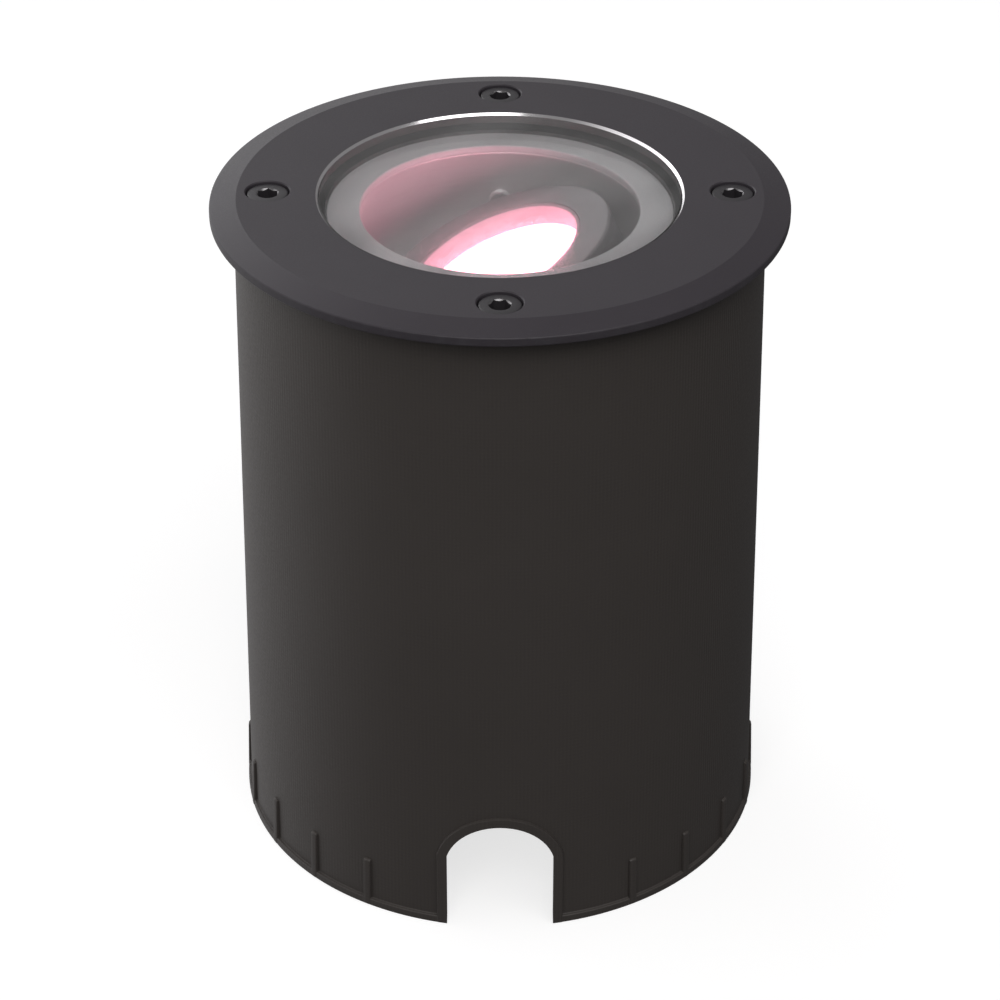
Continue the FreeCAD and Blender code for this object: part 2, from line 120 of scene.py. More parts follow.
def dotOf(tree, vector, other):
    made = addNode(tree, "ShaderNodeVectorMath", {0: vector, 1: other}, operation="DOT_PRODUCT")
    return made.outputs["Value"]


worldSettings = {
    "tint": (1.0, 0.99, 1.0, 1.0),
    "brightSide": (-0.82, 0.57, 0.0),  # the room is brightest behind the light and to its left
    "brightLevel": 1.45,
    "plainLevel": 0.21,
    "turnFrom": 0.2,
    "turnTo": 1.0,
    "belowShare": 0.47,  # how bright the room is under the light, against above
    "belowTo": -0.5,
    "aboveFrom": 0.2,
    "streakMiddle": (0.0, 0.845, 0.534),  # faint slanting streaks, which show in the glass
    "streakFrom": 0.93,
    "streakTo": 0.985,
    "streakAcross": (0.41, -0.486, 0.769),
    "streakAlong": (0.91, 0.219, -0.346),
    "streakFine": 55.0,
    "streakLong": 7.0,
    "streakEdges": (0.35, 0.65),  # the noise levels of the darkest and the brightest streaks
    "streakLow": 0.1,
    "streakHigh": 1.3,
}


def lightWorld(settings):
    # a soft room, brighter on one side, with faint streaks behind the light
    world = bpy.data.worlds.new("softRoom")
    bpy.context.scene.world = world
    world.use_nodes = True
    tree = world.node_tree
    direction = addNode(tree, "ShaderNodeTexCoord").outputs["Generated"]
    towards = dotOf(tree, direction, settings["brightSide"])
    level = remap(
        tree, towards, settings["turnFrom"], settings["turnTo"],
        settings["plainLevel"], settings["brightLevel"], smooth=True,
    )
    height = addNode(tree, "ShaderNodeSeparateXYZ", {"Vector": direction}).outputs["Z"]
    above = remap(tree, height, settings["belowTo"], settings["aboveFrom"], settings["belowShare"], 1.0)
    across = dotOf(tree, direction, settings["streakAcross"])
    across = mathOf(tree, across, settings["streakFine"], "MULTIPLY")
    along = dotOf(tree, direction, settings["streakAlong"])
    along = mathOf(tree, along, settings["streakLong"], "MULTIPLY")
    place = addNode(tree, "ShaderNodeCombineXYZ", {"X": across, "Y": along}).outputs["Vector"]
    noise = addNode(tree, "ShaderNodeTexNoise", {"Vector": place, "Scale": 1.0, "Detail": 2.0})
    streaks = remap(
        tree, noise.outputs["Fac"], *settings["streakEdges"],
        settings["streakLow"], settings["streakHigh"],
    )
    nearMiddle = dotOf(tree, direction, settings["streakMiddle"])
    window = remap(tree, nearMiddle, settings["streakFrom"], settings["streakTo"], 0.0, 1.0, smooth=True)
    share = remap(tree, window, 0.0, 1.0, 1.0, streaks)
    strength = mathOf(tree, mathOf(tree, level, above, "MULTIPLY"), share, "MULTIPLY")
    backdrop = tree.nodes["Background"]
    tree.links.new(strength, backdrop.inputs["Strength"])
    backdrop.inputs["Color"].default_value = settings["tint"]


lampSettings = {
    "keySoftbox": {"place": (-0.16, -1.0, 0.97), "size": 0.7, "watts": 5.4, "tint": (1.0, 0.985, 0.97)},
    "topSoftbox": {"place": (0.35, -0.54, 1.08), "size": 0.85, "watts": 4.8, "tint": (1.0, 0.99, 0.99)},
    "backSoftbox": {"place": (-0.65, 1.05, 0.7), "size": 0.8, "watts": 2.0, "tint": (0.97, 0.98, 1.0)},
}


def hangSoftboxes(settings):
    for name, box in settings.items():
        data = bpy.data.lights.new(name, "AREA")
        data.shape = "SQUARE"
        data.size = box["size"]
        data.energy = box["watts"]
        data.color = box["tint"]
        lamp = bpy.data.objects.new(name, data)
        bpy.context.scene.collection.objects.link(lamp)
        lamp.location = box["place"]
        aim = Vector((0, 0, lightHeight / 2))
        lamp.rotation_euler = (aim - lamp.location).to_track_quat("-Z", "Y").to_euler()


floorSettings = {
    "halfSide": 6.0,
    "colour": (0.40, 0.40, 0.40, 1.0),
    "roughness": 0.9,
    "sheen": 0.1,  # specular level
    "glow": 0.73,  # the floor is a light table, so shadows on it stay pale
}


def layFloor(settings):
    bm = bmesh.new()
    bmesh.ops.create_grid(bm, x_segments=1, y_segments=1, size=settings["halfSide"])
    mesh = bpy.data.meshes.new("paleFloor")
    bm.to_mesh(mesh)
    bm.free()
    floor = bpy.data.objects.new("paleFloor", mesh)
    bpy.context.scene.collection.objects.link(floor)
    material = bpy.data.materials.new("paleFloor")
    material.use_nodes = True
    shader = material.node_tree.nodes["Principled BSDF"]
    shader.inputs["Base Color"].default_value = settings["colour"]
    shader.inputs["Roughness"].default_value = settings["roughness"]
    shader.inputs["Specular IOR Level"].default_value = settings["sheen"]
    shader.inputs["Emission Color"].default_value = (1.0, 1.0, 1.0, 1.0)
    shader.inputs["Emission Strength"].default_value = settings["glow"]
    mesh.materials.append(material)
    floor.visible_glossy = False  # the floor doesn't show in the dark sleeve
    floor.visible_diffuse = False


def setPictureStyle():
    scene = bpy.context.scene
    scene.view_settings.view_transform = "Standard"
    scene.cycles.use_denoising = True
    scene.cycles.max_bounces = 12
    scene.cycles.transmission_bounces = 8
    scene.cycles.sample_clamp_indirect = 4.0


placeCamera(cameraSettings)
lightWorld(worldSettings)
hangSoftboxes(lampSettings)
layFloor(floorSettings)
setPictureStyle()
print("stage set")


# Shaping

shapingSettings = {
    "turnSteps": 192,  # faces round a turned piece
    "wideSteps": 240,  # faces round the widest pieces
    "screwSteps": 72,
    "smallSteps": 48,
    "arcStep": math.radians(22),  # the most that one step of a rounded corner turns
    "softAngle": math.radians(40),  # edges that turn less than this are shaded smooth
}


def halfWidth(node):
    low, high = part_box(node)
    return min(high.x, -low.x) / mm


def heightsOf(node):
    low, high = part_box(node)
    return low.z / mm, high.z / mm


def roundedOutline(corners):
    # (radius, height, rounding) corners, with each rounding drawn as an arc
    points = []
    for index, (radius, height, rounding) in enumerate(corners):
        here = Vector((radius, height))
        if rounding == 0:
            points.append(here)
            continue
        before = (Vector(corners[index - 1][:2]) - here).normalized()
        after = (Vector(corners[(index + 1) % len(corners)][:2]) - here).normalized()
        opening = before.angle(after)
        reach = rounding / math.tan(opening / 2)
        middle = here + (before + after).normalized() * rounding / math.sin(opening / 2)
        start = here + before * reach - middle
        end = here + after * reach - middle
        steps = max(2, math.ceil((math.pi - opening) / shapingSettings["arcStep"]))
        for step in range(steps + 1):
            points.append(middle + start.slerp(end, step / steps).normalized() * rounding)
    return points


def arcCorners(middleHeight, radius, fromAngle, toAngle, steps):
    # corners along a ball's outline, with angles up from the level through its middle
    corners = []
    for step in range(steps + 1):
        angle = fromAngle + (toAngle - fromAngle) * step / steps
        corners.append((radius * math.cos(angle), middleHeight + radius * math.sin(angle), 0))
    return corners


def pieceFrom(name, bm):
    bmesh.ops.recalc_face_normals(bm, faces=bm.faces)
    mesh = bpy.data.meshes.new(name)
    bm.to_mesh(mesh)
    bm.free()
    piece = bpy.data.objects.new(name, mesh)
    bpy.context.scene.collection.objects.link(piece)
    return piece


def turnedPiece(name, corners, steps=0, place=(0, 0, 0)):
    # a closed outline in millimetres, spun about the upright axis
    steps = steps or shapingSettings["turnSteps"]
    bm = bmesh.new()
    rings = []
    for radius, height in roundedOutline(corners):
        if radius < 1e-6:
            rings.append([bm.verts.new(Vector((0, 0, height)) * mm)] * steps)
            continue
        ringOf = []
        for step in range(steps):
            angle = 2 * math.pi * step / steps
            spot = Vector((radius * math.cos(angle), radius * math.sin(angle), height))
            ringOf.append(bm.verts.new(spot * mm))
        rings.append(ringOf)
    for first, second in zip(rings, rings[1:] + rings[:1]):
        for step in range(steps):
            turn = (step + 1) % steps
            loop = [first[step], first[turn], second[turn], second[step]]
            distinct = list(dict.fromkeys(loop))
            if len(distinct) > 2:
                bm.faces.new(distinct)
    bmesh.ops.translate(bm, verts=bm.verts, vec=Vector(place) * mm)
    return pieceFrom(name, bm)


def rodPiece(name, radius, low, high, place=(0, 0, 0)):
    corners = [(0, low, 0), (radius, low, 0), (radius, high, 0), (0, high, 0)]
    return turnedPiece(name, corners, shapingSettings["smallSteps"], place)


def prismPiece(name, outline, low, high, place=(0, 0, 0)):
    # a flat outline of (x, y) points in millimetres, raised from low to high
    bm = bmesh.new()
    floorFace = bm.faces.new([bm.verts.new(Vector((x, y, low)) * mm) for x, y in outline])
    raised = bmesh.ops.extrude_face_region(bm, geom=[floorFace])
    tops = [item for item in raised["geom"] if isinstance(item, bmesh.types.BMVert)]
    bmesh.ops.translate(bm, verts=tops, vec=Vector((0, 0, high - low)) * mm)
    bmesh.ops.translate(bm, verts=bm.verts, vec=Vector(place) * mm)
    return pieceFrom(name, bm)


def ringOfPoints(radius, count, turn=0.0):
    spots = []
    for number in range(count):
        angle = turn + 2 * math.pi * number / count
        spots.append((radius * math.cos(angle), radius * math.sin(angle)))
    return spots


def settle(piece):
    # turns the piece's modifiers into its mesh
    state = bpy.context.evaluated_depsgraph_get()
    shaped = piece.evaluated_get(state)
    mesh = bpy.data.meshes.new_from_object(shaped, preserve_all_data_layers=True, depsgraph=state)
    piece.modifiers.clear()
    piece.data = mesh
    mesh.name = piece.name


def combine(piece, tool, operation):
    step = piece.modifiers.new("shape", "BOOLEAN")
    step.operation = operation
    step.solver = "MANIFOLD"
    step.object = tool
    settle(piece)
    bpy.data.objects.remove(tool)


def softenEdges(piece, width, turn=35.0, segments=2):
    step = piece.modifiers.new("soften", "BEVEL")
    step.width = width * mm
    step.segments = segments
    step.limit_method = "ANGLE"
    step.angle_limit = math.radians(turn)
    settle(piece)


def spin(piece, rotation, move=(0, 0, 0)):
    piece.data.transform(Matrix.Translation(Vector(move) * mm) @ rotation)


def joinPieces(pieces):
    # several shapes in one mesh
    bm = bmesh.new()
    for piece in pieces:
        bm.from_mesh(piece.data)
    name = pieces[0].name
    for piece in pieces:
        bpy.data.objects.remove(piece)
    return pieceFrom(name, bm)


def finishPiece(piece, body, replaced, materials, choose=None):
    # shading, finish, body and slot of a piece that stands for a CAD node
    mesh = piece.data
    mesh.materials.clear()
    for material in materials:
        mesh.materials.append(material)
    for face in mesh.polygons:
        face.material_index = choose(face.center / mm, face.normal) if choose else 0
    mesh.shade_smooth()
    mesh.set_sharp_from_angle(angle=shapingSettings["softAngle"])
    weighted = piece.modifiers.new("flats", "WEIGHTED_NORMAL")
    weighted.keep_sharp = True
    settle(piece)
    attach(piece, body)
    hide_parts(replaced)


# Finishes

def startFinish(name, settings):
    material = bpy.data.materials.new(name)
    material.use_nodes = True
    shader = material.node_tree.nodes["Principled BSDF"]
    for socket, value in settings.items():
        shader.inputs[socket].default_value = value
    return material, material.node_tree, shader


def pointOnPiece(tree):
    return addNode(tree, "ShaderNodeTexCoord").outputs["Object"]


def grainOf(tree, size, detail=3.0, point=None):
    # noise with patches of about this size in metres
    return addNode(tree, "ShaderNodeTexNoise", {
        "Vector": point or pointOnPiece(tree), "Scale": 1 / size, "Detail": detail, "Roughness": 0.55,
    }).outputs["Fac"]


def aboutAxis(tree):
    # distance from the piece's axis, angle round it and height along it
    split = addNode(tree, "ShaderNodeSeparateXYZ", {"Vector": pointOnPiece(tree)})
    flat = addNode(tree, "ShaderNodeCombineXYZ", {"X": split.outputs["X"], "Y": split.outputs["Y"]})
    radius = addNode(tree, "ShaderNodeVectorMath", {0: flat.outputs["Vector"]}, operation="LENGTH")
    angle = mathOf(tree, split.outputs["Y"], split.outputs["X"], "ARCTAN2")
    return radius.outputs["Value"], angle, split.outputs["Z"]


def spunPoint(tree, turnShare=0.0004):
    # for tool marks: changes along the radius and the height, and hardly round the axis
    radius, angle, height = aboutAxis(tree)
    drift = mathOf(tree, angle, turnShare, "MULTIPLY")
    spun = addNode(tree, "ShaderNodeCombineXYZ", {"X": radius, "Y": drift, "Z": height})
    return spun.outputs["Vector"]


def blendColours(tree, factor, first, second):
    made = addNode(tree, "ShaderNodeMix", data_type="RGBA")
    for identifier, value in (("Factor_Float", factor), ("A_Color", first), ("B_Color", second)):
        target = next(socket for socket in made.inputs if socket.identifier == identifier)
        if isinstance(value, bpy.types.NodeSocket):
            tree.links.new(value, target)
        else:
            target.default_value = value
    return next(socket for socket in made.outputs if socket.identifier == "Result_Color")


def scaled(colour, factor):
    return (colour[0] * factor, colour[1] * factor, colour[2] * factor, 1.0)


def pressBump(tree, shader, height, depth):
    bump = addNode(tree, "ShaderNodeBump", {"Height": height, "Strength": 1.0, "Distance": depth})
    tree.links.new(bump.outputs["Normal"], shader.inputs["Normal"])


noiseRange = (0.3, 0.7)  # most of a noise texture's values lie between these


def driftGloss(tree, shader, noise, low, high):
    # roughness that follows the noise from low to high
    gloss = remap(tree, noise, *noiseRange, low, high)
    tree.links.new(gloss, shader.inputs["Roughness"])


def plainFinish(name, colour, roughness, grain, cloud=12 * mm, depth=0.01 * mm, spread=0.12, **extra):
    # a finish whose tone and gloss drift over the piece, with a fine surface grain
    values = {"Base Color": scaled(colour, 1.0), "Roughness": roughness}
    values.update(extra)
    material, tree, shader = startFinish(name, values)
    drift = grainOf(tree, cloud, 2.0)
    fine = grainOf(tree, grain, 2.0)
    tone = blendColours(tree, drift, scaled(colour, 1 - spread), scaled(colour, 1 + spread))
    tree.links.new(tone, shader.inputs["Base Color"])
    driftGloss(tree, shader, fine, roughness * 0.88, min(1.0, roughness * 1.12))
    pressBump(tree, shader, fine, depth)
    return material


coverCoatSettings = {
    "colour": (0.0440, 0.0392, 0.0456),
    "speckWearAndHighlight": (0.075, 0.073, 0.080),
    "roughness": 0.42,
    "sheen": 0.22,  # specular level
    "speckle": 0.35 * mm,
    "speckEdges": (0.62, 0.75),
    "speckShare": 0.35,
    "cloud": 16 * mm,
    "depth": 0.006 * mm,
    "rubbedHighlightWidth": 0.45 * mm,
    "rubbedHighlightPatch": 3 * mm,
    "rubbedHighlightEdges": (0.45, 0.75),
    "rubbedHighlightShare": 0.3,
}


def coverCoat(settings):
    # anthracite powder coat: orange-peel grain, a few finer specks, and a rim edge rubbed brighter in patches,
    # which is partly wear and partly a painted highlight on the edge
    colour = settings["colour"]
    material, tree, shader = startFinish("coverCoat", {
        "Base Color": scaled(colour, 1.0), "Specular IOR Level": settings["sheen"],
    })
    cloud = grainOf(tree, settings["cloud"], 2.0)
    speckle = grainOf(tree, settings["speckle"], 2.0)
    tone = blendColours(tree, cloud, scaled(colour, 0.93), scaled(colour, 1.07))
    specks = remap(tree, speckle, *settings["speckEdges"], 0.0, settings["speckShare"])
    tone = blendColours(tree, specks, tone, scaled(settings["speckWearAndHighlight"], 1.0))
    # painted highlight: the outer rim edge is lightened in patches, partly wear and partly a painted edge
    # highlight
    radius = aboutAxis(tree)[0]
    edge = remap(tree, radius, rimRadius - settings["rubbedHighlightWidth"], rimRadius, 0.0, 1.0)
    patches = grainOf(tree, settings["rubbedHighlightPatch"], 4.0)
    patchy = remap(tree, patches, *settings["rubbedHighlightEdges"], 0.0, settings["rubbedHighlightShare"])
    rubbedHighlight = mathOf(tree, edge, patchy, "MULTIPLY")
    tone = blendColours(tree, rubbedHighlight, tone, scaled(settings["speckWearAndHighlight"], 1.0))
    tree.links.new(tone, shader.inputs["Base Color"])
    driftGloss(tree, shader, speckle, settings["roughness"] * 0.88, settings["roughness"] * 1.15)
    pressBump(tree, shader, speckle, settings["depth"])
    return material


sleevePlasticSettings = {
    "colour": (0.0475, 0.0418, 0.0385),
    "roughness": 0.50,
    "sheen": 0.36,  # specular level
    "threadPitch": 0.85 * mm,  # fine upright and level lines of the mould's texture
    "threadDepth": 0.010 * mm,
    "threadShare": 0.35,  # how much the threads lighten the plastic
    "threadPatch": 6 * mm,
    "speckle": 0.5 * mm,
    "speckleDepth": 0.012 * mm,
    "cloud": 22 * mm,
}


def sleevePlastic(settings):
    # black moulded plastic with a faint woven mould texture
    colour = settings["colour"]
    material, tree, shader = startFinish("sleevePlastic", {
        "Base Color": scaled(colour, 1.0), "Specular IOR Level": settings["sheen"],
    })
    angle, rise = aboutAxis(tree)[1:]
    wallRadius = halfWidth("mounting_sleeve") * mm
    linesRound = 2 * math.pi * round(wallRadius / settings["threadPitch"])
    upright = mathOf(tree, mathOf(tree, angle, linesRound, "MULTIPLY"), 0.0, "SINE")
    level = mathOf(tree, rise, 2 * math.pi / settings["threadPitch"], "MULTIPLY")
    level = mathOf(tree, level, 0.0, "SINE")
    weave = mathOf(tree, upright, mathOf(tree, level, 0.5, "MULTIPLY"))
    patches = remap(tree, grainOf(tree, settings["threadPatch"], 3.0), 0.35, 0.65, 0.2, 1.0)
    weave = mathOf(tree, weave, patches, "MULTIPLY")
    speckle = grainOf(tree, settings["speckle"], 2.0)
    cloud = grainOf(tree, settings["cloud"], 2.0)
    tone = blendColours(tree, cloud, scaled(colour, 0.92), scaled(colour, 1.08))
    threads = remap(tree, weave, -1.5, 1.5, 0.0, 1.0)
    threads = mathOf(tree, threads, settings["threadShare"], "MULTIPLY")
    tone = blendColours(tree, threads, tone, scaled(colour, 1.5))
    tree.links.new(tone, shader.inputs["Base Color"])
    driftGloss(tree, shader, speckle, settings["roughness"] * 0.9, settings["roughness"] * 1.12)
    threadHeight = settings["threadDepth"] / settings["speckleDepth"]
    height = mathOf(tree, mathOf(tree, weave, threadHeight, "MULTIPLY"), speckle)
    pressBump(tree, shader, height, settings["speckleDepth"])
    return material


def spunFinish(name, colour, roughness, groove, depth, metal, spread=0.1, shine=0.5):
    # satin metal with fine tool marks round its axis
    material, tree, shader = startFinish(name, {
        "Base Color": scaled(colour, 1.0), "Metallic": metal, "Specular IOR Level": shine,
    })
    lines = grainOf(tree, groove, 3.0, spunPoint(tree))
    cloud = grainOf(tree, 9 * mm, 2.0)
    tone = blendColours(tree, cloud, scaled(colour, 1 - spread), scaled(colour, 1 + spread))
    marks = remap(tree, lines, 0.4, 0.7, 0.0, 0.5)
    tone = blendColours(tree, marks, tone, scaled(colour, 1 - 2 * spread))
    tree.links.new(tone, shader.inputs["Base Color"])
    driftGloss(tree, shader, lines, roughness * 0.85, roughness * 1.15)
    pressBump(tree, shader, lines, depth)
    return material


diffuserSettings = {
    "colour": (0.9, 0.75, 0.8),
    "glow": (1.0, 0.34, 0.46),
    "strength": 8.0,
    "edgeFrom": 17.3 * mm,
    "edgeTo": 18.5 * mm,
    "edgeShare": 0.28,
    "drift": 5 * mm,  # faint uneven patches of the glow
    "driftShare": (0.97, 1.03),
    "grain": 0.4 * mm,
    "depth": 0.004 * mm,
}


def litDiffuser(settings):
    # opal disc, lit from behind, dimmer along its covered edge
    material, tree, shader = startFinish("litDiffuser", {
        "Base Color": scaled(settings["colour"], 1.0),
        "Roughness": 0.5,
        "Emission Color": scaled(settings["glow"], 1.0),
        "Emission Strength": settings["strength"],
    })
    radius = aboutAxis(tree)[0]
    edge = remap(tree, radius, settings["edgeFrom"], settings["edgeTo"], 1.0, settings["edgeShare"])
    drift = grainOf(tree, settings["drift"], 1.0)
    level = remap(tree, drift, *noiseRange, *settings["driftShare"])
    level = mathOf(tree, mathOf(tree, edge, level, "MULTIPLY"), settings["strength"], "MULTIPLY")
    tree.links.new(level, shader.inputs["Emission Strength"])
    pressBump(tree, shader, grainOf(tree, settings["grain"], 2.0), settings["depth"])
    return material


lensSettings = {
    "speck": 0.2 * mm,  # fine lime specks, which give the glass a faint haze
    "speckEdges": (0.54, 0.64),
    "speckRoughness": 0.22,
}


def lensGlass(settings):
    # clear glass that lets the light of the lamps through to what is under it
    material, tree, shader = startFinish("lensGlass", {
        "Base Color": (0.96, 0.97, 0.97, 1.0),
        "Roughness": 0.0,
        "IOR": 1.5,
        "Transmission Weight": 1.0,
    })
    specks = grainOf(tree, settings["speck"], 1.0)
    haze = remap(tree, specks, *settings["speckEdges"], 0.0, settings["speckRoughness"])
    tree.links.new(haze, shader.inputs["Roughness"])
    letThrough = addNode(tree, "ShaderNodeBsdfTransparent")
    rays = addNode(tree, "ShaderNodeLightPath")
    both = addNode(tree, "ShaderNodeMixShader", {
        0: rays.outputs["Is Shadow Ray"], 1: shader.outputs["BSDF"], 2: letThrough.outputs["BSDF"],
    })
    tree.links.new(both.outputs["Shader"], tree.nodes["Material Output"].inputs["Surface"])
    return material


finishes = {
    "sleeve_plastic": sleevePlastic(sleevePlasticSettings),
    "cover_coat": coverCoat(coverCoatSettings),
    "cover_screw": plainFinish("blackScrew", (0.024, 0.022, 0.025), 0.42, 0.3 * mm, spread=0.2),
    "lens_glass": lensGlass(lensSettings),
    "seal_rubber": plainFinish("siliconeSeal", (0.06, 0.058, 0.058), 0.6, 0.5 * mm),
    "bezel_satin": spunFinish(
        "bezelSatin", (0.275, 0.27, 0.275), 0.45, 0.3 * mm, 0.0004 * mm, 0.0, 0.05,
    ),
    "housing_alloy": plainFinish(
        "castAlloy", (0.13, 0.13, 0.14), 0.5, 0.8 * mm, depth=0.03 * mm, Metallic=0.7,
    ),
    "board_green": plainFinish("solderMask", (0.02, 0.12, 0.05), 0.3, 1 * mm),
    "cover_plastic": plainFinish("driverShell", (0.7, 0.69, 0.65), 0.5, 0.5 * mm),
    "small_screw": plainFinish("smallScrew", (0.6, 0.6, 0.6), 0.3, 0.3 * mm, Metallic=1.0),
    "transformer_black": plainFinish("varnishedCore", (0.03, 0.03, 0.035), 0.4, 0.5 * mm),
    "capacitor_can": plainFinish("capacitorSleeve", (0.03, 0.04, 0.10), 0.3, 0.5 * mm),
    "terminal_plastic": plainFinish("terminalPlastic", (0.08, 0.3, 0.12), 0.4, 0.5 * mm),
    "gland_nylon": plainFinish("glandNylon", (0.03, 0.03, 0.031), 0.45, 0.5 * mm, depth=0.012 * mm),
    "plug_brass": plainFinish("plugNickel", (0.65, 0.62, 0.55), 0.3, 0.3 * mm, Metallic=1.0),
    "cup_satin": spunFinish(
        "cupSatin", (0.49, 0.48, 0.485), 0.38, 0.5 * mm, 0.0003 * mm, 0.65, 0.04,
    ),
    "glide_plastic": plainFinish("glidePlastic", (0.75, 0.75, 0.73), 0.4, 0.5 * mm),
    "spring_steel": plainFinish("springSteel", (0.5, 0.5, 0.52), 0.3, 0.3 * mm, Metallic=1.0),
    # the slight pink in the module's grey is painted pink light from the lamp, not its own colour
    "module_satin": spunFinish(
        "moduleSatinPinkLightTint", (0.112, 0.103, 0.107), 0.36, 0.3 * mm, 0.0006 * mm, 0.3, 0.06,
    ),
    "well_white": plainFinish(
        "wellWhite", (0.195, 0.155, 0.17), 0.4, 0.5 * mm, depth=0.002 * mm, spread=0.02,
    ),
    "diffuser_lit": litDiffuser(diffuserSettings),
    "board_white": plainFinish("boardWhite", (0.8, 0.8, 0.78), 0.3, 0.6 * mm),
    "chip_phosphor": plainFinish("chipPhosphor", (0.85, 0.7, 0.25), 0.4, 0.3 * mm),
    "sink_black": plainFinish("sinkBlack", (0.04, 0.04, 0.045), 0.5, 0.4 * mm, Metallic=0.5),
}
bareEdge = spunFinish("bareEdge", (0.92, 0.90, 0.91), 0.16, 0.15 * mm, 0.001 * mm, 1.0, 0.04)
bareSocket = plainFinish(
    "bareSocket", (0.22, 0.215, 0.22), 0.28, 0.3 * mm, depth=0.002 * mm, Metallic=0.9,
)
groundGlass = plainFinish(
    "groundGlass", (0.019, 0.018, 0.018), 0.55, 0.4 * mm, depth=0.002 * mm, spread=0.05,
)


def dress(nodeName):
    mesh = nodes[nodeName].data
    mesh.materials.clear()
    mesh.materials.append(finishes[slotOf[nodeName]])


for nodeName in nodes:
    dress(nodeName)
print("finishes made:", len(finishes))


# Mounting sleeve

sleeveSettings = {
    "topRadius": 55.0,
    "wall": 2.6,
    "mouthRadius": 53.4,
    "mouthDepth": 5.7,
    "lipProud": 0.7,
    "lipHeight": 1.8,
    "ribProud": 0.85,
    "ribProudAtTop": 0.6,
    "ribRound": 0.5,
    "ribSoft": 0.4,
    "ribRoot": 1.5,  # how far the rib reaches into the wall
    "ribLift": 0.1,  # the rib's foot above the ground
    "ribWidth": 1.8,
    "ribHeight": 12.2,
    "ribStep": 15,  # degrees
    "ribsEachWay": 4,
    "slotWidth": 22.9,
    "slotHeight": 26.9,
    "archRadius": 11.9,
    "borderWidth": 2.1,
    "borderProud": 0.8,
    "borderInset": 0.15,  # past the wall's inside, and above the ground
    "borderSoft": 0.28,
    "slotStart": -5,  # the slot's outline starts under the foot
    "slotSteps": 24,
    "slotReach": (30, 80),  # from inside the wall to outside it
}


def slotOutline(settings, extra):
    # the arched cable slot, grown by extra, as points across (x) and up (y)
    half = settings["slotWidth"] / 2 + extra
    start = settings["slotStart"]
    arch = settings["archRadius"] + extra
    middle = settings["slotHeight"] - settings["archRadius"]
    spread = math.asin(half / arch)
    points = [(half, start), (half, middle + arch * math.cos(spread))]
    steps = settings["slotSteps"]
    for step in range(1, steps):
        angle = spread - 2 * spread * step / steps
        points.append((arch * math.sin(angle), middle + arch * math.cos(angle)))
    return points + [(-half, middle + arch * math.cos(spread)), (-half, start)]


def slotTool(settings, extra, near, far):
    # the slot as a bar that runs out along -Y, from near to far
    bar = prismPiece("slotTool", slotOutline(settings, extra), near, far)
    spin(bar, Matrix.Rotation(math.pi / 2, 4, "X"))
    return bar


def slotBorder(settings, footRadius, slope, side):
    # the raised frame round one slot, which follows the wall
    proud = settings["borderProud"]
    lift = settings["borderInset"]
    inward = settings["wall"] + lift
    top = settings["slotHeight"] + 2 * settings["borderWidth"]
    border = turnedPiece("slotBorder", [
        (footRadius - inward, lift, 0),
        (footRadius + proud, lift, 0),
        (footRadius - slope * top + proud, top, 0),
        (footRadius - slope * top - inward, top, 0),
    ])
    near, far = settings["slotReach"]
    combine(border, slotTool(settings, settings["borderWidth"], near, far), "INTERSECT")
    combine(border, slotTool(settings, 0, near - 10, far + 10), "DIFFERENCE")
    softenEdges(border, settings["borderSoft"], 50)
    spin(border, Matrix.Rotation(side, 4, "Z"))
    return border


def sleeveRib(settings, footRadius, slope, angle):
    # a short rib that stands on the foot lip, rounded off at its top
    height = settings["ribHeight"]
    tip = settings["ribRound"]
    inner = footRadius - settings["ribRoot"]
    outerTop = footRadius - slope * height + settings["ribProudAtTop"]
    outline = roundedOutline([
        (inner, settings["ribLift"], 0),
        (footRadius + settings["ribProud"], settings["ribLift"], 0),
        (outerTop, height, tip),
        (inner, height, 0),
    ])
    half = settings["ribWidth"] / 2
    rib = prismPiece("sleeveRib", outline, -half, half)
    softenEdges(rib, settings["ribSoft"], 60)
    spin(rib, Matrix.Rotation(angle, 4, "Z") @ Matrix.Rotation(math.pi / 2, 4, "X"))
    return rib


def makeSleeve(settings):
    height = heightsOf("mounting_sleeve")[1]
    footRadius = halfWidth("mounting_sleeve") - settings["ribProud"]
    lipRadius = footRadius + settings["lipProud"]
    lipHeight = settings["lipHeight"]
    slope = (footRadius - settings["topRadius"]) / height
    wall = settings["wall"]
    mouthLow = height - settings["mouthDepth"]
    sleeve = turnedPiece("sleeveShell", [
        (footRadius - wall, 0, 0.3),
        (lipRadius, 0, 0.3),
        (lipRadius - slope * lipHeight, lipHeight, 0.3),
        (footRadius - slope * lipHeight, lipHeight, 0.25),
        (settings["topRadius"], height, 0.35),
        (settings["mouthRadius"], height, 0.35),
        (settings["mouthRadius"], mouthLow, 0),
        (footRadius - slope * mouthLow - wall, mouthLow, 0.2),
    ])
    reach = settings["slotReach"]
    slots = [slotTool(settings, settings["borderWidth"] / 2, *reach) for side in range(2)]
    spin(slots[1], Matrix.Rotation(math.pi, 4, "Z"))
    combine(sleeve, joinPieces(slots), "DIFFERENCE")
    ribs = []
    for side in (0, math.pi):
        for step in range(-settings["ribsEachWay"], settings["ribsEachWay"] + 1):
            angle = side + math.radians(settings["ribStep"]) * step
            ribs.append(sleeveRib(settings, footRadius, slope, angle))
    combine(sleeve, joinPieces(ribs), "UNION")
    borders = [slotBorder(settings, footRadius, slope, side) for side in (0, math.pi)]
    combine(sleeve, joinPieces(borders), "UNION")
    finishPiece(sleeve, "sleeve", "mounting_sleeve", [finishes["sleeve_plastic"]])


makeSleeve(sleeveSettings)
print("sleeve made")


# Cover ring and its screws

